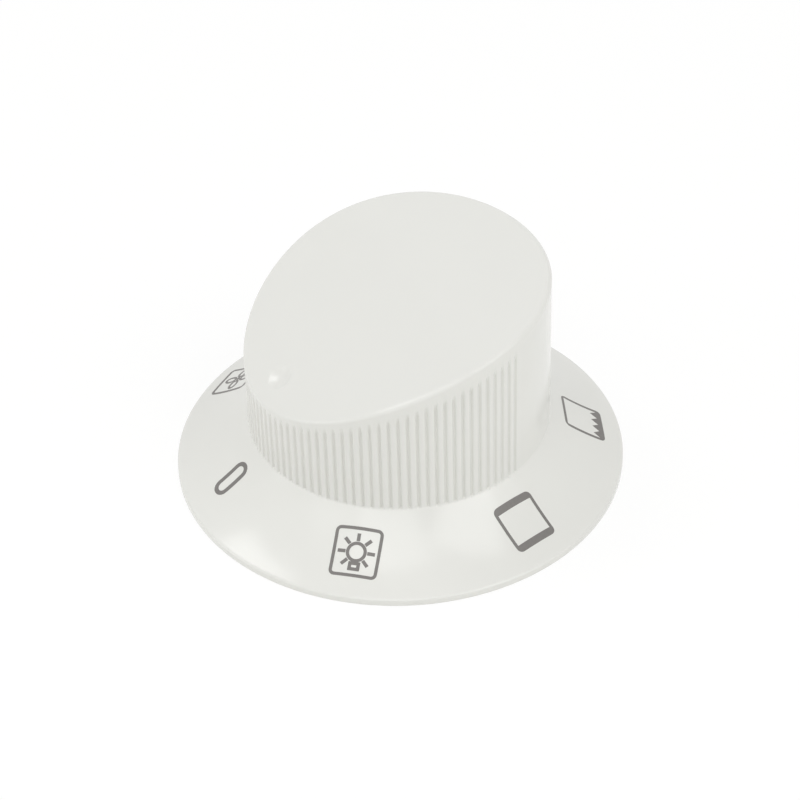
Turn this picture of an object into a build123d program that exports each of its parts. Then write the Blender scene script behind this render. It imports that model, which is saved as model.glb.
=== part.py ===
from build123d import *
import os
from math import asin, atan2, cos, radians, sin, sqrt, tan

# Oven control knob: a one-piece plastic moulding that pushes on a D-shaped spindle, with a spring clip.
# The origin is on the spindle's axis, in the plane of the skirt's lower rim. +Z points away from the oven.
# The low end of the sloping top, with the pointer mark, faces -Y. Sizes are in millimetres and degrees.

# Skirt, the flared dial that carries the printed symbols
SKIRT_DIAMETER = 66.0
RIM_HEIGHT = 1.0          # upright edge of the rim
RIM_CHAMFER = 0.3         # at the top of that edge
RIM_WIDTH = 1.5           # flat ring under the rim, which runs along the panel
SKIRT_HEIGHT = 8.2        # where the skirt meets the grip
SKIRT_SAG = 0.58          # depth of the skirt's hollow curve below a straight cone
SKIRT_WALL = 1.5          # upright, halfway up the skirt

# Grip
GRIP_DIAMETER = 44.2      # over the flutes, where the grip leaves the skirt
GRIP_DRAFT = 0.4          # the grip narrows upwards, so that it leaves its mould
GRIP_WALL = 2.0           # behind the flutes
KNOB_HEIGHT = 32.35       # to the crest of the arched top
TOP_RADIUS = 74.0         # arch of the top, seen from the side
CREST_SHIFT = 20.8        # the crest lies this far from the axis, towards the tall side
TOP_WALL = 2.2
TOP_EDGE_ROUND = 0.6

# Flutes round the low side of the grip
FLUTE_PITCH = 3.4         # degrees from one flute to the next
FLUTED_ARC = 231.0        # the tall side of the grip is left smooth
FLUTE_WIDTH = 0.6
FLUTE_DEPTH = 0.34
FLUTE_START = 0.6         # where a flute begins, below the top edge, at the low end
FLUTE_LAG = 0.12          # how much further down it begins for each millimetre that the edge has risen
FLUTE_RUN = 1.4           # the height over which it reaches its full depth
FLUTE_SINK = 1.0          # how far it reaches down into the skirt, before the skirt closes it

# Pointer mark, a shallow dimple near the low end of the top
POINTER_REACH = 18.4      # from the axis, towards the low end
POINTER_ASIDE = 1.1       # from the middle line of the top
POINTER_DIAMETER = 3.8
POINTER_DEPTH = 0.45

# Hub with the socket for the spindle
SPINDLE_DIAMETER = 6.0
SPINDLE_FLAT = 4.6        # from the flat to the far side of the round
SPINDLE_CLEARANCE = 0.1   # on the diameter
HUB_WALL = 3.0
HUB_RECESS = 2.0          # the hub's end lies this far above the plane of the rim
SOCKET_DEPTH = 14.0
SOCKET_LEAD = 0.5         # chamfer at the mouth of the socket

# Ribs from the hub to the wall of the grip
RIB_COUNT = 4
RIB_THICKNESS = 1.2
RIB_CLEARANCE = 3.5       # the ribs' lower edges lie this far above the hub's end

# Spring clip over the hub's wall
CLIP_THICKNESS = 0.4
CLIP_WIDTH = 3.6
CLIP_INNER_LEG = 10.0
CLIP_OUTER_LEG = 7.0
CLIP_BOW = 0.3            # how far the inner leg bows towards the spindle
CLIP_CLEARANCE = 0.1      # between the clip's edges and the sides of its slot
CLIP_PAD = 0.6            # depth of the flat on the hub under the outer leg

skirt_radius = SKIRT_DIAMETER / 2
grip_radius = GRIP_DIAMETER / 2
hollow_radius = grip_radius - FLUTE_DEPTH - GRIP_WALL
bore_radius = (SPINDLE_DIAMETER + SPINDLE_CLEARANCE) / 2
bore_flat = SPINDLE_FLAT - SPINDLE_DIAMETER / 2 + SPINDLE_CLEARANCE / 2
hub_radius = bore_radius + HUB_WALL
pad_face = hub_radius - CLIP_PAD
arch_centre_z = KNOB_HEIGHT - TOP_RADIUS
outside = skirt_radius + 1.0
standing = (Align.CENTER, Align.CENTER, Align.MIN)


def arch_height(y, drop=0.0):
    """Height of the arched top over the line at y, or of a parallel arch that lies lower by drop."""
    radius = TOP_RADIUS - drop
    return arch_centre_z + sqrt(radius ** 2 - (y - CREST_SHIFT) ** 2)


def drafted_radius(radius, z):
    """Radius at height z of a wall that leaves the skirt's height at the given radius."""
    return radius - (z - SKIRT_HEIGHT) * tan(radians(GRIP_DRAFT))


def drafted_round(radius, top):
    """Round solid with the grip's draft, from the rim's plane up to top, with its seam on the tall side."""
    return Rot(0, 0, 90) * Cone(drafted_radius(radius, 0), drafted_radius(radius, top), top, align=standing)


def below_arch(half_width, drop=0.0):
    """Block from the rim's plane up to the arch, wide enough to trim a round solid of that half width."""
    side = Polyline((half_width, arch_height(half_width, drop)), (half_width, 0), (-half_width, 0),
                    (-half_width, arch_height(-half_width, drop)))
    arch = ThreePointArc((-half_width, arch_height(-half_width, drop)), (0, arch_height(0, drop)),
                         (half_width, arch_height(half_width, drop)))
    return extrude(Plane.YZ * make_face(side + arch), half_width, both=True)


def arched_round(radius, drop=0.0):
    """Drafted round solid, trimmed by the arch."""
    return drafted_round(radius, KNOB_HEIGHT + 1.0) & below_arch(radius + 1.0, drop)


def grip_blank():
    """The grip before its flutes are cut.

    Its top edge is rounded by three narrow flats that touch a circle. A rolled fillet along this arched edge is a
    doubly curved face with more facets than all the rest of the knob.
    """
    solid = arched_round(grip_radius)
    top_face = solid.faces().filter_by(GeomType.CYLINDER).sort_by(Axis.Z)[-1]
    solid = chamfer(top_face.edges(), TOP_EDGE_ROUND * (2 - sqrt(2)))
    middle_flat = solid.faces().filter_by(GeomType.BSPLINE).sort_by(Axis.Z)[-1]
    rims = middle_flat.edges().sort_by(SortBy.LENGTH)[-2:]
    return chamfer(rims, TOP_EDGE_ROUND * (sqrt(2) - 1 - tan(radians(11.25))))


def flute(azimuth):
    """Cutter for one flute: it runs out below the top edge and ends inside the skirt."""
    direction = Vector(sin(radians(azimuth)), -cos(radians(azimuth)), 0)
    edge = arch_height(-grip_radius * cos(radians(azimuth)))
    start = edge - FLUTE_START - FLUTE_LAG * (edge - arch_height(-grip_radius))
    full = start - FLUTE_RUN
    bottom = SKIRT_HEIGHT - FLUTE_SINK
    face_low = drafted_radius(grip_radius, bottom)
    face_full = drafted_radius(grip_radius, full)
    face_start = drafted_radius(grip_radius, start)
    beyond = grip_radius + 1.0
    section = Polyline((face_low - FLUTE_DEPTH, bottom), (face_full - FLUTE_DEPTH, full),
                       (face_start, start), (beyond, start), (beyond, bottom), close=True)
    plane = Plane(origin=(0, 0, 0), x_dir=direction, z_dir=direction.cross(Vector(0, 0, 1)))
    return extrude(plane * make_face(section), FLUTE_WIDTH / 2, both=True)


def flutes():
    """Cutters for all the flutes, spread evenly to both sides of the low end."""
    steps = int(FLUTED_ARC / FLUTE_PITCH)
    return [flute((index - steps / 2) * FLUTE_PITCH) for index in range(steps + 1)]


def pointer_dimple():
    """Ball that presses the pointer mark into the top, square to its surface."""
    ball_radius = (POINTER_DIAMETER ** 2 / 4 + POINTER_DEPTH ** 2) / (2 * POINTER_DEPTH)
    lean = asin((-POINTER_REACH - CREST_SHIFT) / TOP_RADIUS)
    centre_reach = TOP_RADIUS + ball_radius - POINTER_DEPTH
    centre = (POINTER_ASIDE, CREST_SHIFT + centre_reach * sin(lean), arch_centre_z + centre_reach * cos(lean))
    return Pos(centre) * Sphere(ball_radius)


def skirt_outside():
    """Solid disc with the skirt's hollow curve on top and its chamfered rim."""
    curve = SagittaArc((skirt_radius, RIM_HEIGHT), (grip_radius, SKIRT_HEIGHT), SKIRT_SAG)
    rest = Polyline((grip_radius, SKIRT_HEIGHT), (0, SKIRT_HEIGHT), (0, 0), (skirt_radius, 0),
                    (skirt_radius, RIM_HEIGHT))
    section = make_face(curve + rest)
    corner = section.vertices().sort_by_distance(Vector(skirt_radius, RIM_HEIGHT))[0]
    return revolve(Plane.XZ * chamfer(corner, RIM_CHAMFER), Axis.Z)


def skirt_hollow():
    """Conical space under the skirt, from the flat ring of the rim to the hollow of the grip."""
    ring_radius = skirt_radius - RIM_WIDTH
    middle_radius = (skirt_radius + grip_radius) / 2
    slope = atan2(SKIRT_HEIGHT - RIM_HEIGHT, skirt_radius - grip_radius)
    middle_height = (RIM_HEIGHT + SKIRT_HEIGHT) / 2 - SKIRT_SAG / cos(slope) - SKIRT_WALL
    root_height = middle_height * (ring_radius - hollow_radius) / (ring_radius - middle_radius)
    section = Polyline((ring_radius, 0), (hollow_radius, root_height), (0, root_height), (0, 0), close=True)
    return revolve(Plane.XZ * make_face(section), Axis.Z)


def hub_outside():
    """Round post from the hub's end up into the top."""
    height = KNOB_HEIGHT - HUB_RECESS
    return Pos(0, 0, HUB_RECESS) * Cylinder(hub_radius, height, align=standing)


def ribs():
    """Radial ribs between the hub and the grip's wall, half way between the axes."""
    root = Pos(hub_radius - HUB_WALL / 2, 0, HUB_RECESS + RIB_CLEARANCE)
    rib = root * Box(outside, RIB_THICKNESS, KNOB_HEIGHT, align=(Align.MIN, Align.CENTER, Align.MIN))
    turn = 360 / RIB_COUNT
    return [Rot(0, 0, turn * (index + 0.5)) * rib for index in range(RIB_COUNT)]


def socket():
    """D-shaped bore for the spindle, with its flat on the low side, and a lead-in at its mouth."""
    round_part = Circle(bore_radius)
    kept = Pos(0, -bore_flat) * Rectangle(2 * outside, outside, align=(Align.CENTER, Align.MIN))
    bore = Pos(0, 0, HUB_RECESS) * extrude(round_part & kept, SOCKET_DEPTH)
    mouth = Pos(0, 0, HUB_RECESS) * Cone(bore_radius + SOCKET_LEAD, bore_radius, SOCKET_LEAD, align=standing)
    return [bore, mouth]


def clip_seat():
    """Cuts in the hub for the clip: a slot behind the flat, a notch over the wall and a flat outside."""
    width = CLIP_WIDTH + 2 * CLIP_CLEARANCE
    slot_face = bore_flat + CLIP_THICKNESS
    low = (Align.CENTER, Align.MIN, Align.MIN)
    slot = Pos(0, -slot_face, HUB_RECESS) * Box(width, slot_face, CLIP_INNER_LEG + CLIP_CLEARANCE, align=low)
    notch = Pos(0, -hub_radius, HUB_RECESS) * Box(width, hub_radius, CLIP_THICKNESS, align=low)
    pad = Pos(0, -hub_radius, HUB_RECESS) * Box(width, CLIP_PAD, CLIP_OUTER_LEG + CLIP_CLEARANCE, align=low)
    return [slot, notch, pad]


def knob_body():
    """The moulding: fluted grip and skirt, hollow below, with the hub and its ribs left standing inside."""
    grip = grip_blank() - flutes() - pointer_dimple()
    hollow = arched_round(hollow_radius, TOP_WALL) + skirt_hollow()
    hub = hub_outside() - clip_seat()
    space = hollow - hub - ribs()
    return grip + skirt_outside() - space - socket()


def spring_clip():
    """Strip bent over the hub's wall: a bowed leg behind the spindle's flat and a straight leg outside."""
    inner = -bore_flat
    inner_back = inner - CLIP_THICKNESS
    outer = -pad_face
    outer_front = outer - CLIP_THICKNESS
    base = HUB_RECESS
    inner_top = base + CLIP_INNER_LEG
    outer_top = base + CLIP_OUTER_LEG
    middle = (base + inner_top) / 2
    front = ThreePointArc((inner, base), (inner + CLIP_BOW, middle), (inner, inner_top))
    bridge_top = base + CLIP_THICKNESS
    back = ThreePointArc((inner_back, inner_top), (inner_back + CLIP_BOW, middle), (inner_back, bridge_top))
    tip = Line((inner, inner_top), (inner_back, inner_top))
    rest = Polyline((inner_back, bridge_top), (outer, bridge_top), (outer, outer_top),
                    (outer_front, outer_top), (outer_front, base), (inner, base))
    return extrude(Plane.YZ * make_face(front + tip + back + rest), CLIP_WIDTH / 2, both=True)


os.makedirs("parts", exist_ok=True)
export_step(knob_body(), "parts/knob_body.step")
export_step(spring_clip(), "parts/spring_clip.step")
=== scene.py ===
"""Looks of an oven control knob: a glossy white moulding with grey print and a spring-steel clip."""
import math

import bmesh
import bpy
from mathutils import Matrix, Vector


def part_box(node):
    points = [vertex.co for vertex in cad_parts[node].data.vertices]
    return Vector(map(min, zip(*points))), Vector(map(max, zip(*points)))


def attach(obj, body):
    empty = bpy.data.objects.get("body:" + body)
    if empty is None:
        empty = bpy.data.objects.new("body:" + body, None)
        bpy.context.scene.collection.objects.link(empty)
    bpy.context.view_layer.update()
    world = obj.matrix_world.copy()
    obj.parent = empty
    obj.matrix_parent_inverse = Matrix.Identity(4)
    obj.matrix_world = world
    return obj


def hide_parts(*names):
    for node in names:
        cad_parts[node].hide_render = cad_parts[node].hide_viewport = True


bl_info = {
    "name": "Oven control knob",
    "version": (1, 0, 0),
    "blender": (4, 5, 0),
    "location": "3D View > Sidebar > Knob",
    "description": "Builds the moulding, the printed symbols and the stage of an oven control knob",
    "category": "Object",
}

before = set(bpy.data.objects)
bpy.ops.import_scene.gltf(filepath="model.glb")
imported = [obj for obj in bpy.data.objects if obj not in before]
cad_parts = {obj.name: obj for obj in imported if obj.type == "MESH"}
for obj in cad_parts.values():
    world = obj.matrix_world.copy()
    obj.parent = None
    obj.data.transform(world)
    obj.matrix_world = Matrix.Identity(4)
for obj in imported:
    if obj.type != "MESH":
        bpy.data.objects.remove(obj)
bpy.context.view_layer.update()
_, body_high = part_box("knob_body")

MM = 0.001


def linear_colour(text):
    """Linear colour with full alpha from an sRGB hex value such as #f0f0ea."""
    channels = [int(text[place:place + 2], 16) / 255 for place in (1, 3, 5)]
    return [c / 12.92 if c <= 0.04045 else ((c + 0.055) / 1.055) ** 2.4 for c in channels] + [1.0]


def length(name, description, default):
    """Property for a length in metres."""
    return bpy.props.FloatProperty(name=name, description=description, default=default, min=0.0,
                                   precision=5, unit="LENGTH")


def angle(name, description, default):
    """Property for an angle, given in degrees."""
    return bpy.props.FloatProperty(name=name, description=description, default=math.radians(default),
                                   subtype="ANGLE")


def colour(name, description, default):
    """Property for a colour, given as an sRGB hex value."""
    return bpy.props.FloatVectorProperty(name=name, description=description, subtype="COLOR", size=4,
                                         default=linear_colour(default), min=0.0, max=1.0)


class GripSizes(bpy.types.PropertyGroup):
    """Sizes of the fluted grip and its arched top."""
    radius: length("Radius", "Over the flutes, where the grip leaves the skirt", 22.1 * MM)
    draft: angle("Draft", "How much the wall leans in upwards", 0.4)
    height: length("Height", "From the rim's plane to the crest of the top", body_high.z)
    top_radius: length("Top radius", "Arch of the top, seen from the side", 74.0 * MM)
    crest_shift: length("Crest shift", "From the axis to the crest, towards the tall side", 20.8 * MM)
    edge_round: length("Edge round", "Rounding of the top edge", 0.6 * MM)
    flute_pitch: angle("Flute pitch", "From one flute to the next", 3.4)
    fluted_arc: angle("Fluted arc", "Part of the circle that has flutes", 231.0)
    flute_depth: length("Flute depth", "How deep a flute is", 0.34 * MM)
    flute_start: length("Flute start", "Where a flute begins, below the top edge, at the low end", 0.6 * MM)
    flute_lag: bpy.props.FloatProperty(name="Flute lag", default=0.12,
                                       description="How much further down it begins as the top edge rises")
    flute_run: length("Flute run", "Height over which a flute reaches its depth", 1.4 * MM)


class PointerSizes(bpy.types.PropertyGroup):
    """Sizes of the pointer dimple."""
    reach: length("Reach", "From the axis to the dimple, towards the low end", 18.4 * MM)
    aside: length("Aside", "From the top's middle line to the dimple", 1.1 * MM)
    radius: length("Radius", "Of the dimple's rim", 1.9 * MM)
    depth: length("Depth", "At its middle", 0.45 * MM)
    lip: length("Lip", "Width over which its rim is softened", 0.35 * MM)


class SkirtSizes(bpy.types.PropertyGroup):
    """Sizes of the flared skirt."""
    radius: length("Radius", "Of the rim", body_high.x)
    rim_height: length("Rim height", "Upright edge of the rim", 1.0 * MM)
    rim_round: length("Rim round", "At the top of the upright edge", 0.35 * MM)
    rim_width: length("Rim width", "Flat ring under the rim", 1.5 * MM)
    height: length("Height", "Where the skirt meets the grip", 8.2 * MM)
    sag: length("Sag", "Depth of the hollow curve below a straight cone", 0.58 * MM)
    wall: length("Wall", "Upright, halfway up the skirt", 1.5 * MM)


class HollowSizes(bpy.types.PropertyGroup):
    """Sizes of what the knob holds inside."""
    wall: length("Wall", "Of the grip, behind the flutes", 2.0 * MM)
    top_wall: length("Top wall", "Thickness of the arched top", 2.2 * MM)
    corner_round: length("Corner round", "Between the wall and the ceiling", 0.8 * MM)
    hub_radius: length("Hub radius", "Outside of the hub", 6.05 * MM)
    hub_recess: length("Hub recess", "From the rim's plane to the hub's end", 2.0 * MM)
    bore_radius: length("Bore radius", "Round part of the socket", 3.05 * MM)
    bore_flat: length("Bore flat", "From the axis to the socket's flat", 1.65 * MM)
    bore_depth: length("Bore depth", "Depth of the socket", 14.0 * MM)
    rib_thickness: length("Rib thickness", "Of the four ribs", 1.2 * MM)
    rib_clearance: length("Rib clearance", "From the hub's end to the ribs' lower edges", 3.5 * MM)
    clip_thickness: length("Clip thickness", "Of the spring strip", 0.4 * MM)
    clip_slot: length("Clip slot", "Width of the cuts for the clip", 3.8 * MM)
    clip_inner_leg: length("Clip inner leg", "Length of the cut behind the flat", 10.1 * MM)
    clip_outer_leg: length("Clip outer leg", "Length of the flat outside", 7.1 * MM)
    clip_pad: length("Clip pad", "Depth of the flat outside", 0.6 * MM)


class PrintSizes(bpy.types.PropertyGroup):
    """Sizes of the printed symbols."""
    width: length("Width", "Of a symbol's frame, round the skirt", 6.85 * MM)
    height: length("Height", "Of a symbol's frame, up the skirt", 7.2 * MM)
    corner: length("Corner", "Radius of the frame's corners", 0.8 * MM)
    line: length("Line", "Width of a printed line", 0.46 * MM)
    reach: length("Reach", "From the rim, along the skirt, to the middle of a symbol", 6.7 * MM)
    start: angle("Start", "Azimuth of the nought", 0.2)
    step: angle("Step", "From one symbol to the next", 52.8)
    ink: length("Ink", "Thickness of the ink", 0.02 * MM)


class Finish(bpy.types.PropertyGroup):
    """Colours of the knob and its stage."""
    plastic: colour("Plastic", "Glossy white moulding", "#edede8")
    ink: colour("Ink", "Grey printing ink", "#7c7976")
    steel: colour("Steel", "Bright spring steel", "#b4b4b2")
    floor: colour("Floor", "Pale floor", "#fafaf8")


class StageSizes(bpy.types.PropertyGroup):
    """Where the camera stands."""
    azimuth: angle("Azimuth", "Round the knob, from the pointer's side towards +X", 66.9)
    elevation: angle("Elevation", "Above the floor", 40.63)
    distance: length("Distance", "From the camera to the knob's origin", 330 * MM)
    roll: angle("Roll", "How far the knob leans to the left in the picture", 1.74)
    lens: bpy.props.FloatProperty(name="Lens", description="Focal length in millimetres", default=99.69)
    aim_right: bpy.props.FloatProperty(name="Aim right", description="Aim beside the origin, in metres",
                                       default=0.196 * MM, precision=5)
    aim_up: bpy.props.FloatProperty(name="Aim up", description="Aim above the origin, in metres",
                                    default=7.423 * MM, precision=5)


def around(radius, azimuth, height):
    """Point at that radius and height, at an azimuth counted from -Y towards +X."""
    return Vector((radius * math.sin(azimuth), -radius * math.cos(azimuth), height))


def between(low, high, share):
    """Value at that share of the way from low to high."""
    return low + (high - low) * share


class Moulding:
    """The knob's surfaces, worked out from its sizes."""

    def __init__(self, scene):
        self.grip = scene.knob_grip
        self.skirt = scene.knob_skirt
        self.hollow = scene.knob_hollow
        self.pointer = scene.knob_pointer
        self.arch_centre = self.grip.height - self.grip.top_radius
        self.hollow_radius = self.grip.radius - self.grip.flute_depth - self.hollow.wall
        self._place_skirt_curves()
        self._place_pointer()

    def _place_skirt_curves(self):
        """Circle of the skirt's hollow curve and line of its underside, both as (radius, height) sections."""
        skirt, grip = self.skirt, self.grip
        rim = Vector((skirt.radius, skirt.rim_height))
        root = Vector((grip.radius, skirt.height))
        self.outer_centre, self.outer_curve = circle_over(rim, root, skirt.sag)
        middle = (rim + root) / 2
        slope = math.atan2(root.y - rim.y, rim.x - root.x)
        self.under_rim = Vector((skirt.radius - skirt.rim_width, 0.0))
        middle_height = middle.y - skirt.sag / math.cos(slope) - skirt.wall
        rise = middle_height / (self.under_rim.x - middle.x)
        self.under_root = Vector((self.hollow_radius, rise * (self.under_rim.x - self.hollow_radius)))

    def _place_pointer(self):
        """Middle of the dimple on the arch, the arch's direction there and the radius of the dimple's ball."""
        reach = -self.pointer.reach
        self.pointer_place = Vector((self.pointer.aside, reach, self.arch(reach)))
        self.pointer_normal = Vector((0.0, reach - self.grip.crest_shift,
                                      self.pointer_place.z - self.arch_centre)).normalized()
        self.pointer_ball = (self.pointer.radius ** 2 + self.pointer.depth ** 2) / (2 * self.pointer.depth)

    def arch(self, y, drop=0.0):
        """Height of the arched top over y, or of the parallel arch that lies lower by drop."""
        radius = self.grip.top_radius - drop
        return self.arch_centre + math.sqrt(radius ** 2 - (y - self.grip.crest_shift) ** 2)

    def drafted(self, radius, height):
        """Radius of a leaning wall at that height, from its radius where the skirt meets the grip."""
        return radius - (height - self.skirt.height) * math.tan(self.grip.draft)

    def corner(self, azimuth, radius, drop, rounding):
        """Middle of the rounding between a wall and the arch, and its directions up and out."""
        height = self.arch(0, drop)
        for _ in range(4):
            inner = self.drafted(radius, height) - rounding
            height = self.arch(-inner * math.cos(azimuth), drop + rounding)
        middle = around(inner, azimuth, height)
        up = Vector((0.0, middle.y - self.grip.crest_shift, height - self.arch_centre)).normalized()
        return middle, up, around(1.0, azimuth, 0.0)

    def rounded(self, azimuth, radius, drop, rounding, turn):
        """Point on that rounding: turn is 0 at the arch and 1 at the wall."""
        middle, up, out = self.corner(azimuth, radius, drop, rounding)
        return middle + rounding * up.slerp(out, turn)

    def top_point(self, azimuth, share):
        """Point on the top: share is 0 at the axis and 1 where the rounded edge begins."""
        edge = self.rounded(azimuth, self.grip.radius, 0.0, self.grip.edge_round, 0.0)
        point = Vector((edge.x * share, edge.y * share, self.arch(edge.y * share)))
        return self.dimpled(point)

    def dimpled(self, point):
        """The same point, pressed in where the pointer dimple is."""
        offset = point - self.pointer_place
        side = (offset - offset.dot(self.pointer_normal) * self.pointer_normal).length
        reach = self.pointer.radius + self.pointer.lip
        if side >= reach:
            return point
        ball = self.pointer_ball
        depth = math.sqrt(max(ball ** 2 - side ** 2, 0.0)) - (ball - self.pointer.depth)
        soft = self.pointer.lip / 4
        return point - self.pointer_normal * (depth + math.sqrt(depth ** 2 + soft ** 2)) / 2

    def ceiling_point(self, azimuth, share):
        """Point under the top: share is 0 at the axis and 1 where the inner corner begins."""
        drop = self.hollow.top_wall
        edge = self.rounded(azimuth, self.hollow_radius, drop, self.hollow.corner_round, 0.0)
        return Vector((edge.x * share, edge.y * share, self.arch(edge.y * share, drop)))

    def wall_point(self, azimuth, groove, level):
        """Point on the fluted wall.

        Level is 0 at the rounded edge, 1 where the flutes begin, 2 where they are deep and 3 at the foot.
        """
        middle, _, _ = self.corner(azimuth, self.grip.radius, 0.0, self.grip.edge_round)
        edge = self.arch(-self.grip.radius * math.cos(azimuth))
        start = edge - self.grip.flute_start - self.grip.flute_lag * (edge - self.arch(-self.grip.radius))
        marks = (middle.z, start, start - self.grip.flute_run, self.skirt.height + ROOT_ROUND)
        step = min(int(level), 2)
        height = between(marks[step], marks[step + 1], level - step)
        depth = self.grip.flute_depth * groove * min(max(level - 1, 0.0), 1.0)
        return around(self.drafted(self.grip.radius, height) - depth, azimuth, height)

    def root_point(self, azimuth, groove):
        """Point in the middle of the small rounding at the foot of the wall, or of a flute."""
        out, up = ROOT_MIDDLE
        radius = self.grip.radius + out * ROOT_ROUND
        height = self.skirt_height(radius) + up * ROOT_ROUND
        return around(radius - self.grip.flute_depth * groove, azimuth, height)

    def skirt_point(self, azimuth, share):
        """Point on the skirt: share is 0 beside the grip and 1 where the rim's rounding begins."""
        radius = between(self.grip.radius + ROOT_ROUND, self.skirt.radius - self.skirt.rim_round, share)
        return around(radius, azimuth, self.skirt_height(radius))

    def skirt_height(self, radius):
        """Height of the skirt's hollow curve at that radius."""
        return self.outer_centre.y - math.sqrt(self.outer_curve ** 2 - (radius - self.outer_centre.x) ** 2)

    def rim_point(self, azimuth, turn):
        """Point on the rim's rounding, from the skirt, at 0, to the upright edge, at 1."""
        radius = self.skirt.radius - self.skirt.rim_round
        reach = self.outer_curve + self.skirt.rim_round
        height = self.outer_centre.y - math.sqrt(reach ** 2 - (radius - self.outer_centre.x) ** 2)
        start = math.atan2(self.outer_centre.y - height, self.outer_centre.x - radius)
        lean = start * (1 - turn)
        return around(radius + self.skirt.rim_round * math.cos(lean), azimuth,
                      height + self.skirt.rim_round * math.sin(lean))

    def foot_point(self, azimuth, turn):
        """Point on the small rounding at the foot of the upright edge."""
        lean = turn * math.pi / 2
        return around(self.skirt.radius - FOOT_ROUND * (1 - math.cos(lean)), azimuth,
                      FOOT_ROUND * (1 - math.sin(lean)))

    def under_point(self, azimuth, share):
        """Point under the skirt: share is 0 at the flat ring and 1 at the hollow's wall."""
        place = self.under_rim.lerp(self.under_root, share)
        return around(place.x, azimuth, place.y)

    def hollow_wall_point(self, azimuth, share):
        """Point on the hollow's wall: share is 0 at its foot and 1 at its upper corner."""
        hollow = self.hollow
        middle, _, _ = self.corner(azimuth, self.hollow_radius, hollow.top_wall, hollow.corner_round)
        height = between(self.under_root.y, middle.z, share)
        return around(self.drafted(self.hollow_radius, height), azimuth, height)


def circle_over(first, second, sag):
    """Middle and radius of the circle through two section points that sags below their chord."""
    chord = second - first
    half = chord.length / 2
    radius = (half ** 2 + sag ** 2) / (2 * sag)
    normal = Vector((-chord.y, chord.x)).normalized()
    if normal.y < 0:
        normal.negate()
    return (first + second) / 2 + normal * (radius - sag), radius


# Small roundings where the skirt meets the grip and at the foot of the rim.
ROOT_ROUND = 0.15 * MM
FOOT_ROUND = 0.15 * MM
# Middle of the rounding at the root, out from the wall and up from the skirt, as shares of its radius.
ROOT_MIDDLE = (0.3, 0.2)
# Section of a flute and half the land beside it: places in flute pitches and shares of the depth.
FLUTE_STATIONS = ((-0.27, 0.0), (-0.22, 0.1), (-0.16, 0.45), (-0.10, 0.85), (-0.04, 1.0), (0.04, 1.0),
                  (0.10, 0.85), (0.16, 0.45), (0.22, 0.1), (0.27, 0.0), (0.50, 0.0))
# Places of the same columns where the top is plain: evenly spread, from this share of a pitch.
EVEN_START = -0.4
# Angle between columns where the wall is smooth.
SMOOTH_STEP = math.radians(2.0)
# Radius of the caps in the middle of the top and of the ceiling, as a share of the top's radius.
CAP_SHARE = 0.02
# Reach of the fine rings round the dimple, in its radii.
FINE_REACH = 1.35


def columns(grip):
    """Each upright line of points: azimuth, share of a flute's depth and even azimuth on the top."""
    pitch = grip.flute_pitch
    steps = int(grip.fluted_arc / pitch + 1e-6)
    count = len(FLUTE_STATIONS)
    lines = []
    for index in range(steps + 1):
        centre = (index - steps / 2) * pitch
        lines += [(centre + offset * pitch, depth, centre + (place / count + EVEN_START) * pitch)
                  for place, (offset, depth) in enumerate(FLUTE_STATIONS)]
    first, last = lines[0][0] + 2 * math.pi, lines[-1][0]
    even_first, even_last = lines[0][2] + 2 * math.pi, lines[-1][2]
    count = math.ceil((first - last) / SMOOTH_STEP)
    return lines + [(between(last, first, step / count), 0.0, between(even_last, even_first, step / count))
                    for step in range(1, count)]


def shares(count, first=0.0, last=1.0):
    """Even steps from first to last, without the first."""
    return [between(first, last, (step + 1) / count) for step in range(count)]


def moulding_rows(shape):
    """Rings of the closed shell, from the middle of the top, over the rim, to the middle of the ceiling.

    Each is a function of a column's azimuth, flute depth and even azimuth.
    """
    grip, hollow, pointer = shape.grip, shape.hollow, shape.pointer
    flat_radius = grip.radius - grip.edge_round
    near = [(pointer.reach + side * FINE_REACH * pointer.radius) / flat_radius for side in (-1, 1)]
    top = [CAP_SHARE] + shares(9, CAP_SHARE, near[0]) + shares(30, *near)
    wall = [1.0] + shares(6, 1.0, 2.0) + shares(4, 2.0, 3.0)
    corner = (shape.hollow_radius, hollow.top_wall, hollow.corner_round)
    rows = [lambda a, g, e, s=s: shape.top_point(e, s) for s in top]
    rows += [lambda a, g, e: shape.top_point(a, 1.0)]
    rows += [lambda a, g, e, s=s: shape.rounded(a, grip.radius, 0.0, grip.edge_round, s) for s in shares(6)]
    rows += [lambda a, g, e, s=s: shape.wall_point(a, g, s) for s in wall]
    rows += [lambda a, g, e: shape.root_point(a, g)]
    rows += [lambda a, g, e, s=s: shape.skirt_point(a, s) for s in [0.0, 0.01] + shares(12)]
    rows += [lambda a, g, e, s=s: shape.rim_point(a, s) for s in shares(5)]
    rows += [lambda a, g, e, s=s: shape.foot_point(a, s) for s in [0.0] + shares(3)]
    rows += [lambda a, g, e, s=s: shape.under_point(a, s) for s in [0.0] + shares(3)]
    rows += [lambda a, g, e, s=s: shape.hollow_wall_point(a, s) for s in shares(3)]
    rows += [lambda a, g, e, s=s: shape.rounded(a, *corner, 1 - s) for s in shares(4)]
    rows += [lambda a, g, e, s=s: shape.ceiling_point(a, 1 - s) for s in shares(5, 0.0, 1 - CAP_SHARE)]
    return rows


def extrude_ring(mesh, ring):
    """New ring of points on top of an old one, in the same order."""
    edges = [mesh.edges.get((ring[index - 1], ring[index])) for index in range(len(ring))]
    made = set(bmesh.ops.extrude_edge_only(mesh, edges=edges)["geom"])
    return [next(e.other_vert(v) for e in v.link_edges if e.other_vert(v) in made) for v in ring]


def move_ring(ring, row, lines):
    """Puts each point of a ring where its row and column say."""
    for vert, line in zip(ring, lines):
        vert.co = row(*line)


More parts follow.
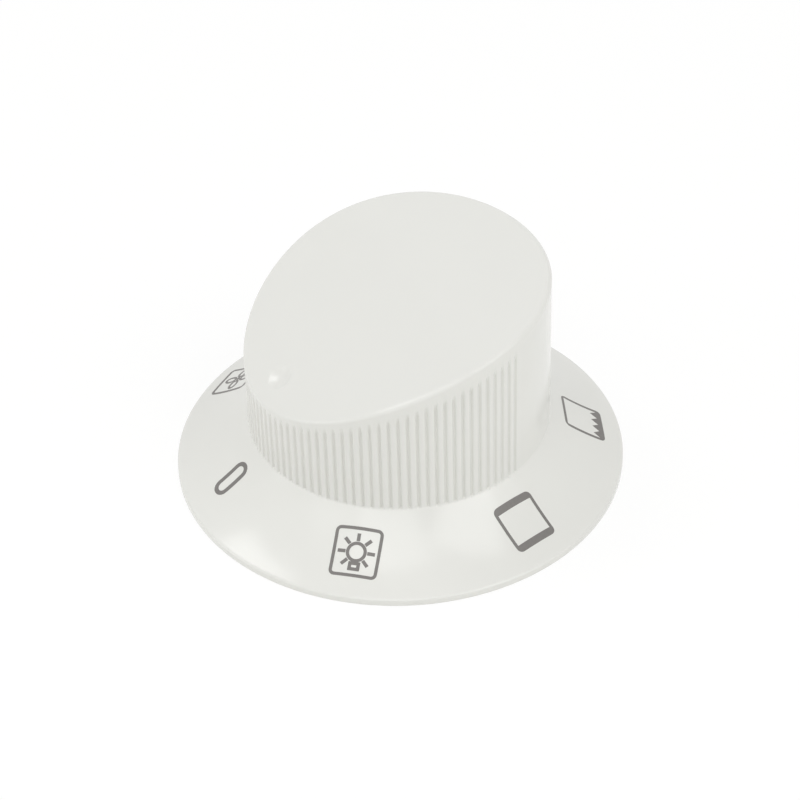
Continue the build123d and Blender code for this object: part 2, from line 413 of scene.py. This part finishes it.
def close_ring(mesh, ring, middle):
    """Closes an open ring with a fan of faces round that middle."""
    inside = set(ring)
    edges = [edge for edge in mesh.edges if edge.is_boundary and edge.verts[0] in inside]
    made = bmesh.ops.extrude_edge_only(mesh, edges=edges)["geom"]
    points = [item for item in made if isinstance(item, bmesh.types.BMVert)]
    bmesh.ops.pointmerge(mesh, verts=points, merge_co=middle)


def shell(shape):
    """Closed shell of the moulding, extruded ring by ring."""
    lines = columns(shape.grip)
    rows = moulding_rows(shape)
    mesh = bmesh.new()
    ring = bmesh.ops.create_circle(mesh, segments=len(lines), radius=MM)["verts"]
    first = ring
    move_ring(ring, rows[0], lines)
    for row in rows[1:]:
        ring = extrude_ring(mesh, ring)
        move_ring(ring, row, lines)
    close_ring(mesh, first, shape.top_point(0.0, 0.0))
    close_ring(mesh, ring, shape.ceiling_point(0.0, 0.0))
    bmesh.ops.recalc_face_normals(mesh, faces=mesh.faces)
    return mesh


def add_box(mesh, low, high):
    """Box between two corners; returns its points."""
    low, high = Vector(low), Vector(high)
    place = Matrix.Translation((low + high) / 2) @ Matrix.Diagonal((high - low).to_4d())
    place[3][3] = 1.0
    return bmesh.ops.create_cube(mesh, size=1.0, matrix=place)["verts"]


def object_from(mesh, name):
    """Scene object from a bmesh, which is freed."""
    data = bpy.data.meshes.new(name)
    mesh.to_mesh(data)
    mesh.free()
    piece = bpy.data.objects.new(name, data)
    bpy.context.scene.collection.objects.link(piece)
    return piece


def cut(piece, cutters):
    """Takes each cutter out of the piece and removes the cutters."""
    for cutter in cutters:
        step = piece.modifiers.new("cut", "BOOLEAN")
        step.operation = "DIFFERENCE"
        step.solver = "EXACT"
        step.object = cutter
    finished = bpy.data.meshes.new_from_object(piece.evaluated_get(bpy.context.evaluated_depsgraph_get()))
    piece.modifiers.clear()
    piece.data = finished
    for cutter in cutters:
        bpy.data.objects.remove(cutter)


def hub_cutters(hollow):
    """Cutters for the D-shaped socket and for the clip, which reach past the hub's end by deep."""
    base, deep = hollow.hub_recess, 1 * MM
    socket = bmesh.new()
    ring = bmesh.ops.create_cone(socket, cap_ends=True, segments=64, radius1=hollow.bore_radius,
                                 radius2=hollow.bore_radius, depth=hollow.bore_depth + deep)["verts"]
    for vert in ring:
        vert.co.y = max(vert.co.y, -hollow.bore_flat)
        vert.co.z += base + (hollow.bore_depth - deep) / 2
    cutters = [object_from(socket, "socket_cutter")]
    half = hollow.clip_slot / 2
    low = base - deep
    behind_flat = -hollow.bore_flat - hollow.clip_thickness
    outside = -hollow.hub_radius - deep
    pad = hollow.clip_pad - hollow.hub_radius
    boxes = (((-half, behind_flat, low), (half, 0, base + hollow.clip_inner_leg)),
             ((-half, outside, low), (half, 0, base + hollow.clip_thickness)),
             ((-half, outside, low), (half, pad, base + hollow.clip_outer_leg)))
    for corners in boxes:
        block = bmesh.new()
        add_box(block, *corners)
        cutters.append(object_from(block, "clip_cutter"))
    return cutters


def hub(shape):
    """Hub with its socket and the cuts for the clip, up into the top's wall."""
    hollow = shape.hollow
    mesh = bmesh.new()
    height = shape.grip.height - hollow.hub_recess
    points = bmesh.ops.create_cone(mesh, cap_ends=True, segments=96, radius1=hollow.hub_radius,
                                   radius2=hollow.hub_radius, depth=height)["verts"]
    for vert in points:
        vert.co.z += hollow.hub_recess + height / 2
    sink_into_top(shape, points)
    piece = object_from(mesh, "hub")
    cut(piece, hub_cutters(hollow))
    return piece


def sink_into_top(shape, points):
    """Moves the upper points to the middle of the top's wall."""
    for vert in points:
        if vert.co.z > shape.hollow.hub_recess + shape.hollow.bore_depth:
            vert.co.z = shape.arch(vert.co.y, shape.hollow.top_wall / 2)


def ribs(shape):
    """Four ribs from the hub to the grip's wall."""
    hollow = shape.hollow
    mesh = bmesh.new()
    low = (hollow.hub_radius - MM, -hollow.rib_thickness / 2, hollow.hub_recess + hollow.rib_clearance)
    high = (shape.hollow_radius + hollow.wall / 2, hollow.rib_thickness / 2, shape.grip.height)
    for quarter in range(4):
        points = add_box(mesh, low, high)
        turn = Matrix.Rotation(math.radians(45 + 90 * quarter), 3, "Z")
        bmesh.ops.rotate(mesh, verts=points, cent=(0, 0, 0), matrix=turn)
        sink_into_top(shape, points)
    return object_from(mesh, "ribs")


def smooth_shading(piece, sharpest):
    """Smooth faces, with the edges sharper than that angle kept crisp."""
    for polygon in piece.data.polygons:
        polygon.use_smooth = True
    piece.data.set_sharp_from_angle(angle=sharpest)


def join(pieces, name):
    """One object from several, as the moulding is one piece."""
    whole = bmesh.new()
    for piece in pieces:
        whole.from_mesh(piece.data)
        bpy.data.objects.remove(piece)
    return object_from(whole, name)


class KNOB_OT_moulding(bpy.types.Operator):
    """Builds the white moulding: grip, top, skirt and what stands inside."""
    bl_idname = "knob.moulding"
    bl_label = "Build the moulding"

    def execute(self, context):
        shape = Moulding(context.scene)
        moulding = join([object_from(shell(shape), "shell"), hub(shape), ribs(shape)], "white_moulding")
        smooth_shading(moulding, math.radians(50))
        moulding.data.materials.append(glossy_white_plastic(context.scene.knob_finish))
        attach(moulding, "root")
        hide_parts("knob_body")
        return {"FINISHED"}


class KNOB_OT_clip(bpy.types.Operator):
    """Gives the spring clip its steel."""
    bl_idname = "knob.clip"
    bl_label = "Finish the clip"

    def execute(self, context):
        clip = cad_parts["spring_clip"]
        clip.data.materials.clear()
        clip.data.materials.append(bright_spring_steel(context.scene.knob_finish))
        return {"FINISHED"}


class Symbol:
    """Flat drawing of one printed symbol. From its middle, its u runs round the skirt and its v outwards."""

    def __init__(self, sizes):
        self.sizes = sizes
        self.mesh = bmesh.new()

    def _place(self, points, centre, turn):
        """Turns new points about the middle, then moves them to their centre."""
        matrix = Matrix.Translation((centre[0], centre[1], 0)) @ Matrix.Rotation(turn, 4, "Z")
        bmesh.ops.transform(self.mesh, verts=points, matrix=matrix)

    def _hollow(self, face, line):
        """Leaves only a line of even width along the face's edge."""
        bmesh.ops.inset_region(self.mesh, faces=[face], use_boundary=True, use_even_offset=True,
                               thickness=line)
        bmesh.ops.delete(self.mesh, geom=[face], context="FACES")

    def bar(self, width, height, centre=(0, 0), turn=0.0, corner=0.0):
        """Filled rectangle, with its corners rounded where a radius is given."""
        points = bmesh.ops.create_grid(self.mesh, x_segments=1, y_segments=1, size=0.5)["verts"]
        bmesh.ops.scale(self.mesh, verts=points, vec=(width, height, 1))
        self._place(points, centre, turn)
        if corner:
            bmesh.ops.bevel(self.mesh, geom=points, affect="VERTICES", offset=corner, segments=5,
                            profile=0.5, material=-1)
        return self._newest_face()

    def _newest_face(self):
        self.mesh.faces.ensure_lookup_table()
        return self.mesh.faces[-1]

    def frame(self, width, height, corner, line, centre=(0, 0)):
        """Rounded frame."""
        self._hollow(self.bar(width, height, centre, corner=corner), line)

    def heavy_frame(self, inner, outer):
        """Rounded frame whose inner and outer sides are that thick."""
        sizes = self.sizes
        edge = sizes.width / 2 - sizes.line
        low, high = inner - sizes.height / 2, sizes.height / 2 - outer
        self.bar(sizes.width, sizes.height, corner=sizes.corner)
        for place, normal in (((edge, 0, 0), (1, 0, 0)), ((-edge, 0, 0), (1, 0, 0)),
                              ((0, low, 0), (0, 1, 0)), ((0, high, 0), (0, 1, 0))):
            geometry = self.mesh.verts[:] + self.mesh.edges[:] + self.mesh.faces[:]
            bmesh.ops.bisect_plane(self.mesh, geom=geometry, plane_co=place, plane_no=normal)
        centres = {face: face.calc_center_median() for face in self.mesh.faces}
        window = [face for face, centre in centres.items()
                  if abs(centre.x) < edge and low < centre.y < high]
        bmesh.ops.delete(self.mesh, geom=window, context="FACES")

    def disc(self, width, height, centre=(0, 0), turn=0.0):
        """Filled ellipse."""
        points = bmesh.ops.create_circle(self.mesh, cap_ends=True, segments=48, radius=0.5)["verts"]
        bmesh.ops.scale(self.mesh, verts=points, vec=(width, height, 1))
        self._place(points, centre, turn)
        return points[0].link_faces[0]

    def ring(self, width, height, line, centre=(0, 0), turn=0.0):
        """Ellipse drawn as a line of even width."""
        self._hollow(self.disc(width, height, centre, turn), line)

    def polygon(self, corners):
        """Filled polygon."""
        points = [self.mesh.verts.new((u, v, 0)) for u, v in corners]
        bmesh.ops.contextual_create(self.mesh, geom=points)


def draw_zero(symbol):
    """Slim upright nought: the off position."""
    symbol.frame(2.8 * MM, 6.2 * MM, 1.38 * MM, 0.68 * MM)


def draw_frame(symbol):
    """Frame that most symbols have."""
    sizes = symbol.sizes
    symbol.frame(sizes.width, sizes.height, sizes.corner, sizes.line)


def draw_lamp(symbol):
    """Frame with a lamp and its rays."""
    bulb, ray_reach, base_reach = 2.95 * MM, 2.1 * MM, 2.05 * MM
    draw_frame(symbol)
    symbol.ring(bulb, bulb, symbol.sizes.line)
    for turn in (0, 45, 90, 135, 225, 270, 315):
        lean = math.radians(turn + 180)
        symbol.bar(0.5 * MM, 1.1 * MM, (ray_reach * math.sin(lean), ray_reach * math.cos(lean)), -lean)
    symbol.frame(1.7 * MM, 1.3 * MM, 0.1 * MM, 0.48 * MM, (0, base_reach))


HEATER_BAR = 1.1 * MM    # thickness of the bar that stands for a heating element


def draw_heat(symbol):
    """Frame with a thick bar for each of the two heating elements."""
    symbol.heavy_frame(HEATER_BAR, HEATER_BAR)


def draw_grill(symbol):
    """Frame with the grill's zigzag on its thick outer side."""
    line = symbol.sizes.line
    side = 1.7 * line
    symbol.heavy_frame(line, side)
    zigzag(symbol, 4, 1.1 * MM, side)


def zigzag(symbol, teeth, depth, side):
    """Row of solid teeth that point inwards from the frame's outer side, which is that thick."""
    sizes = symbol.sizes
    width = sizes.width - 2 * sizes.line
    base = sizes.height / 2 - side
    pitch = width / teeth
    for index in range(teeth):
        left = index * pitch - width / 2
        symbol.polygon(((left, base), (left + pitch / 2, base - depth), (left + pitch, base)))


def draw_fan(symbol):
    """Frame with a four-bladed fan."""
    reach, middle = 1.5 * MM, 0.7 * MM
    draw_frame(symbol)
    for quarter in range(4):
        turn = math.radians(90 * quarter)
        place = (reach * math.sin(turn), -reach * math.cos(turn))
        symbol.ring(1.7 * MM, 2.3 * MM, 0.42 * MM, place, turn)
    symbol.disc(middle, middle)


def draw_fan_grill(symbol):
    """Frame with a fan and the grill's zigzag."""
    draw_fan(symbol)
    zigzag(symbol, 4, 0.7 * MM, symbol.sizes.line)


def draw_bottom_heat(symbol):
    """Frame with a thick bar for the lower heating element alone."""
    symbol.heavy_frame(HEATER_BAR, symbol.sizes.line)


# Each symbol's name, place in steps from the nought, shift outwards from the common circle, and drawing.
SYMBOLS = (("print_zero", 0, -0.65 * MM, draw_zero),
           ("print_lamp", 1, 0, draw_lamp),
           ("print_heat", 2, 0, draw_heat),
           ("print_grill", 3.01, 0, draw_grill),
           ("print_bottom_heat", 4, 0, draw_bottom_heat),
           ("print_fan", -0.99, 0.87 * MM, draw_fan),
           ("print_fan_grill", -2, 0, draw_fan_grill))
PRINT_CELL = 0.45 * MM    # size of the cells that let a drawing follow the skirt


def divide(mesh, width, height):
    """Cuts flat faces into small cells, so that they can follow the skirt."""
    for axis, extent in ((0, width), (1, height)):
        count = math.ceil(extent / PRINT_CELL)
        for step in range(count + 1):
            place, normal = Vector((0, 0, 0)), Vector((0, 0, 0))
            place[axis] = (step / count - 0.5) * extent
            normal[axis] = 1.0
            geometry = mesh.verts[:] + mesh.edges[:] + mesh.faces[:]
            bmesh.ops.bisect_plane(mesh, geom=geometry, plane_co=place, plane_no=normal, dist=1e-7)


def lay_on_skirt(mesh, shape, azimuth, reach):
    """Presses a flat drawing onto the skirt, with its middle at that azimuth and distance from the rim."""
    centre, curve = shape.outer_centre, shape.outer_curve
    rim = Vector((shape.skirt.radius, shape.skirt.rim_height)) - centre
    start = math.atan2(rim.y, rim.x)
    for vert in mesh.verts:
        across, outwards, lift = vert.co
        middle = centre.x + curve * math.cos(start - (reach - outwards) / curve)
        radius = math.hypot(middle, across)
        section = Vector((radius, shape.skirt_height(radius)))
        section -= (section - centre).normalized() * lift
        vert.co = around(section.x, azimuth + math.atan2(across, middle), section.y)


class KNOB_OT_print(bpy.types.Operator):
    """Prints the grey symbols on the skirt."""
    bl_idname = "knob.print"
    bl_label = "Print the symbols"

    def execute(self, context):
        shape = Moulding(context.scene)
        sizes = context.scene.knob_print
        ink = pad_printed_ink(context.scene.knob_finish)
        for name, place, outwards, draw in SYMBOLS:
            symbol = Symbol(sizes)
            draw(symbol)
            divide(symbol.mesh, sizes.width, sizes.height)
            bmesh.ops.triangulate(symbol.mesh, faces=symbol.mesh.faces[:])
            symbol.mesh.normal_update()
            under = [face for face in symbol.mesh.faces if face.normal.z < 0]
            bmesh.ops.reverse_faces(symbol.mesh, faces=under)
            bmesh.ops.solidify(symbol.mesh, geom=symbol.mesh.faces[:], thickness=2 * sizes.ink)
            bmesh.ops.translate(symbol.mesh, verts=symbol.mesh.verts, vec=(0, 0, mid_lift(symbol.mesh)))
            lay_on_skirt(symbol.mesh, shape, sizes.start + place * sizes.step, sizes.reach - outwards)
            bmesh.ops.recalc_face_normals(symbol.mesh, faces=symbol.mesh.faces)
            piece = object_from(symbol.mesh, name)
            piece.data.materials.append(ink)
            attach(piece, "root")
        return {"FINISHED"}


def mid_lift(mesh):
    """How far a drawing has to rise or sink, so that half of its ink lies below the skirt's surface."""
    heights = [vert.co.z for vert in mesh.verts]
    return -(min(heights) + max(heights)) / 2


def add_node(tree, kind, settings=None, **links):
    """Adds a node. Settings are its properties or input values, and links are inputs and what feeds them."""
    node = tree.nodes.new(kind)
    for name, value in (settings or {}).items():
        if name in node.inputs:
            node.inputs[name].default_value = value
        else:
            setattr(node, name, value)
    for name, source in links.items():
        tree.links.new(source, node.inputs[name.replace("_", " ")])
    return node


def new_material(name):
    """Empty material, with its node tree."""
    material = bpy.data.materials.new(name)
    material.use_nodes = True
    material.node_tree.nodes.clear()
    return material, material.node_tree


def finish_material(tree, shader):
    """Links the shader to the material's output."""
    output = add_node(tree, "ShaderNodeOutputMaterial")
    tree.links.new(shader, output.inputs["Surface"])


def per_metre(size):
    """Scale of a noise texture whose features have that size, in metres."""
    return 1.0 / size


def glossy_white_plastic(finish):
    """Injection-moulded white ABS from a polished mould: an even gloss with a very faint ripple."""
    material, tree = new_material("glossy_white_abs")
    place = add_node(tree, "ShaderNodeTexCoord").outputs["Object"]
    ripple = add_node(tree, "ShaderNodeTexNoise", {"Scale": per_metre(6 * MM), "Detail": 2.0}, Vector=place)
    grain = add_node(tree, "ShaderNodeTexNoise", {"Scale": per_metre(0.35 * MM), "Detail": 3.0}, Vector=place)
    tint = add_node(tree, "ShaderNodeValToRGB", Fac=ripple.outputs["Fac"])
    base = Vector(finish.plastic)
    for stop, share in zip(tint.color_ramp.elements, (0.985, 1.0)):
        stop.color = (base.x * share, base.y * share, base.z * share, 1.0)
    gloss = add_node(tree, "ShaderNodeMapRange", {"To Min": 0.14, "To Max": 0.19}, Value=grain.outputs["Fac"])
    wave = add_node(tree, "ShaderNodeBump", {"Strength": 0.12, "Distance": 0.05 * MM},
                    Height=ripple.outputs["Fac"])
    skin = add_node(tree, "ShaderNodeBump", {"Strength": 0.06, "Distance": 0.01 * MM},
                    Height=grain.outputs["Fac"], Normal=wave.outputs["Normal"])
    shader = add_node(tree, "ShaderNodeBsdfPrincipled", {"IOR": 1.53})
    tree.links.new(tint.outputs["Color"], shader.inputs["Base Color"])
    tree.links.new(gloss.outputs["Result"], shader.inputs["Roughness"])
    tree.links.new(skin.outputs["Normal"], shader.inputs["Normal"])
    finish_material(tree, shader.outputs["BSDF"])
    return material


def pad_printed_ink(finish):
    """Pad-printed grey ink: satin, slightly uneven where the pad lets the ink down."""
    material, tree = new_material("grey_pad_print")
    place = add_node(tree, "ShaderNodeTexCoord").outputs["Object"]
    cover = add_node(tree, "ShaderNodeTexNoise", {"Scale": per_metre(0.5 * MM), "Detail": 4.0}, Vector=place)
    tint = add_node(tree, "ShaderNodeValToRGB", Fac=cover.outputs["Fac"])
    base = Vector(finish.ink)
    for stop, share in zip(tint.color_ramp.elements, (0.9, 1.12)):
        stop.color = (base.x * share, base.y * share, base.z * share, 1.0)
    shader = add_node(tree, "ShaderNodeBsdfPrincipled", {"Roughness": 0.42, "IOR": 1.5})
    tree.links.new(tint.outputs["Color"], shader.inputs["Base Color"])
    finish_material(tree, shader.outputs["BSDF"])
    return material


def bright_spring_steel(finish):
    """Cold-rolled spring-steel strip: a metal with fine rolling lines along the strip."""
    material, tree = new_material("rolled_spring_steel")
    place = add_node(tree, "ShaderNodeTexCoord").outputs["Object"]
    stretch = add_node(tree, "ShaderNodeMapping", {"Scale": (1.0, 0.05, 0.05)}, Vector=place)
    lines = add_node(tree, "ShaderNodeTexNoise", {"Scale": per_metre(0.08 * MM), "Detail": 3.0},
                     Vector=stretch.outputs["Vector"])
    gloss = add_node(tree, "ShaderNodeMapRange", {"To Min": 0.22, "To Max": 0.4}, Value=lines.outputs["Fac"])
    groove = add_node(tree, "ShaderNodeBump", {"Strength": 0.2, "Distance": 0.005 * MM},
                      Height=lines.outputs["Fac"])
    shader = add_node(tree, "ShaderNodeBsdfPrincipled", {"Base Color": finish.steel, "Metallic": 1.0})
    tree.links.new(gloss.outputs["Result"], shader.inputs["Roughness"])
    tree.links.new(groove.outputs["Normal"], shader.inputs["Normal"])
    finish_material(tree, shader.outputs["BSDF"])
    return material


FLOOR_REACH = 1.5      # from the knob to the floor's edge, in metres
FLOOR_SHADE = 0.2      # share of the floor's own shading that the camera sees
FLOOR_WHITE = 1.04     # strength of the white in it, so that floor and shading together are white
WORLD_LIGHT = 0.53     # strength of the even light from all round


def seen_by_eye(tree):
    """1 for what the camera sees, straight or in a reflection or through glass, and 0 for soft light."""
    path = add_node(tree, "ShaderNodeLightPath")
    seen = path.outputs["Is Camera Ray"]
    for name in ("Is Glossy Ray", "Is Transmission Ray"):
        either = add_node(tree, "ShaderNodeMath", {"operation": "MAXIMUM"})
        tree.links.new(seen, either.inputs[0])
        tree.links.new(path.outputs[name], either.inputs[1])
        seen = either.outputs["Value"]
    return seen


def pale_floor(finish):
    """Matt pale floor, which the camera sees almost white with a faint shadow."""
    material, tree = new_material("pale_floor")
    share = add_node(tree, "ShaderNodeMath", {"operation": "MULTIPLY"})
    share.inputs[1].default_value = 1 - FLOOR_SHADE
    tree.links.new(seen_by_eye(tree), share.inputs[0])
    matt = add_node(tree, "ShaderNodeBsdfDiffuse", {"Color": finish.floor})
    white = add_node(tree, "ShaderNodeEmission", {"Strength": FLOOR_WHITE})
    mix = add_node(tree, "ShaderNodeMixShader", Fac=share.outputs["Value"])
    tree.links.new(matt.outputs["BSDF"], mix.inputs[1])
    tree.links.new(white.outputs["Emission"], mix.inputs[2])
    finish_material(tree, mix.outputs["Shader"])
    return material


def white_world():
    """White behind the knob, and a softer even light on it."""
    world = bpy.data.worlds.new("studio")
    world.use_nodes = True
    tree = world.node_tree
    tree.nodes.clear()
    strength = add_node(tree, "ShaderNodeMapRange", {"To Min": WORLD_LIGHT, "To Max": 1.0},
                        Value=seen_by_eye(tree))
    background = add_node(tree, "ShaderNodeBackground", {"Color": (1, 1, 1, 1)},
                          Strength=strength.outputs["Result"])
    output = add_node(tree, "ShaderNodeOutputWorld")
    tree.links.new(background.outputs["Background"], output.inputs["Surface"])
    return world


def view_frame(stage):
    """Axes of the camera's side of the knob: right, away and up, with away level."""
    azimuth = stage.azimuth
    right = Vector((math.cos(azimuth), math.sin(azimuth), 0))
    away = Vector((-math.sin(azimuth), math.cos(azimuth), 0))
    return right, away, Vector((0, 0, 1))


def add_camera(stage):
    """Camera at the photograph's angle and distance."""
    right, away, up = view_frame(stage)
    forward = away * math.cos(stage.elevation) - up * math.sin(stage.elevation)
    rise = right.cross(forward)
    data = bpy.data.cameras.new("camera")
    data.lens = stage.lens
    data.clip_start = 10 * MM
    camera = bpy.data.objects.new("camera", data)
    place = -forward * stage.distance
    sight = right * stage.aim_right + rise * stage.aim_up - place
    turn = Matrix.Rotation(-stage.roll, 4, "Z")
    facing = sight.to_track_quat("-Z", "Y").to_matrix().to_4x4()
    camera.matrix_world = Matrix.Translation(place) @ facing @ turn
    bpy.context.scene.collection.objects.link(camera)
    bpy.context.scene.camera = camera


# Each lamp's name, place to the right, away and up from the camera's side in metres, size and power.
SOFTBOXES = (("overhead_softbox", (-0.5, 0.25, 0.85), 0.35, 1.12),
             ("right_softbox", (0.7, -0.3, 0.4), 0.5, 0.55),
             ("high_right_softbox", (0.5, -0.4, 0.8), 0.5, 1.55),
             ("high_front_softbox", (-0.1, -0.5, 0.9), 0.5, 1.18),
             ("front_left_softbox", (-0.5, -0.5, 0.6), 0.5, 0.38),
             ("left_softbox", (-0.8, -0.1, 0.25), 0.4, 0.6),
             ("back_softbox", (0.0, 0.8, 0.5), 0.6, 0.15))


def add_softbox(name, stage, place, size, power):
    """Square soft lamp aimed at the knob."""
    data = bpy.data.lights.new(name, "AREA")
    data.shape = "SQUARE"
    data.size = size
    data.energy = power
    lamp = bpy.data.objects.new(name, data)
    right, away, up = view_frame(stage)
    lamp.location = right * place[0] + away * place[1] + up * place[2]
    lamp.rotation_euler = (-lamp.location).to_track_quat("-Z", "Y").to_euler()
    bpy.context.scene.collection.objects.link(lamp)


class KNOB_OT_stage(bpy.types.Operator):
    """Sets up the floor, the lamps, the world and the camera."""
    bl_idname = "knob.stage"
    bl_label = "Set the stage"

    def execute(self, context):
        scene = context.scene
        stage = scene.knob_stage
        mesh = bmesh.new()
        bmesh.ops.create_grid(mesh, x_segments=1, y_segments=1, size=FLOOR_REACH)
        floor = object_from(mesh, "floor")
        floor.data.materials.append(pale_floor(scene.knob_finish))
        scene.world = white_world()
        for name, place, size, power in SOFTBOXES:
            add_softbox(name, stage, place, size, power)
        add_camera(stage)
        scene.view_settings.view_transform = "Standard"
        return {"FINISHED"}


class KNOB_PT_panel(bpy.types.Panel):
    """The knob's sizes, colours and steps."""
    bl_idname = "KNOB_PT_panel"
    bl_label = "Oven control knob"
    bl_space_type = "VIEW_3D"
    bl_region_type = "UI"
    bl_category = "Knob"

    def draw(self, context):
        for name, group in GROUPS.items():
            box = self.layout.box()
            box.label(text=group.__doc__)
            settings = getattr(context.scene, name)
            for field in group.__annotations__:
                box.prop(settings, field)
        for operator in OPERATORS:
            self.layout.operator(operator.bl_idname)


GROUPS = {"knob_grip": GripSizes, "knob_pointer": PointerSizes, "knob_skirt": SkirtSizes,
          "knob_hollow": HollowSizes, "knob_print": PrintSizes, "knob_finish": Finish,
          "knob_stage": StageSizes}
OPERATORS = (KNOB_OT_moulding, KNOB_OT_clip, KNOB_OT_print, KNOB_OT_stage)


def register():
    """Registers the sizes, the operators and the panel."""
    for group in GROUPS.values():
        bpy.utils.register_class(group)
    for name, group in GROUPS.items():
        setattr(bpy.types.Scene, name, bpy.props.PointerProperty(type=group))
    for operator in OPERATORS:
        bpy.utils.register_class(operator)
    bpy.utils.register_class(KNOB_PT_panel)


def unregister():
    """Takes them out again."""
    bpy.utils.unregister_class(KNOB_PT_panel)
    for operator in reversed(OPERATORS):
        bpy.utils.unregister_class(operator)
    for name in GROUPS:
        delattr(bpy.types.Scene, name)
    for group in reversed(list(GROUPS.values())):
        bpy.utils.unregister_class(group)


def main():
    """Builds the whole scene."""
    register()
    bpy.ops.knob.moulding()
    bpy.ops.knob.clip()
    bpy.ops.knob.print()
    bpy.ops.knob.stage()


if __name__ == "__main__":
    main()
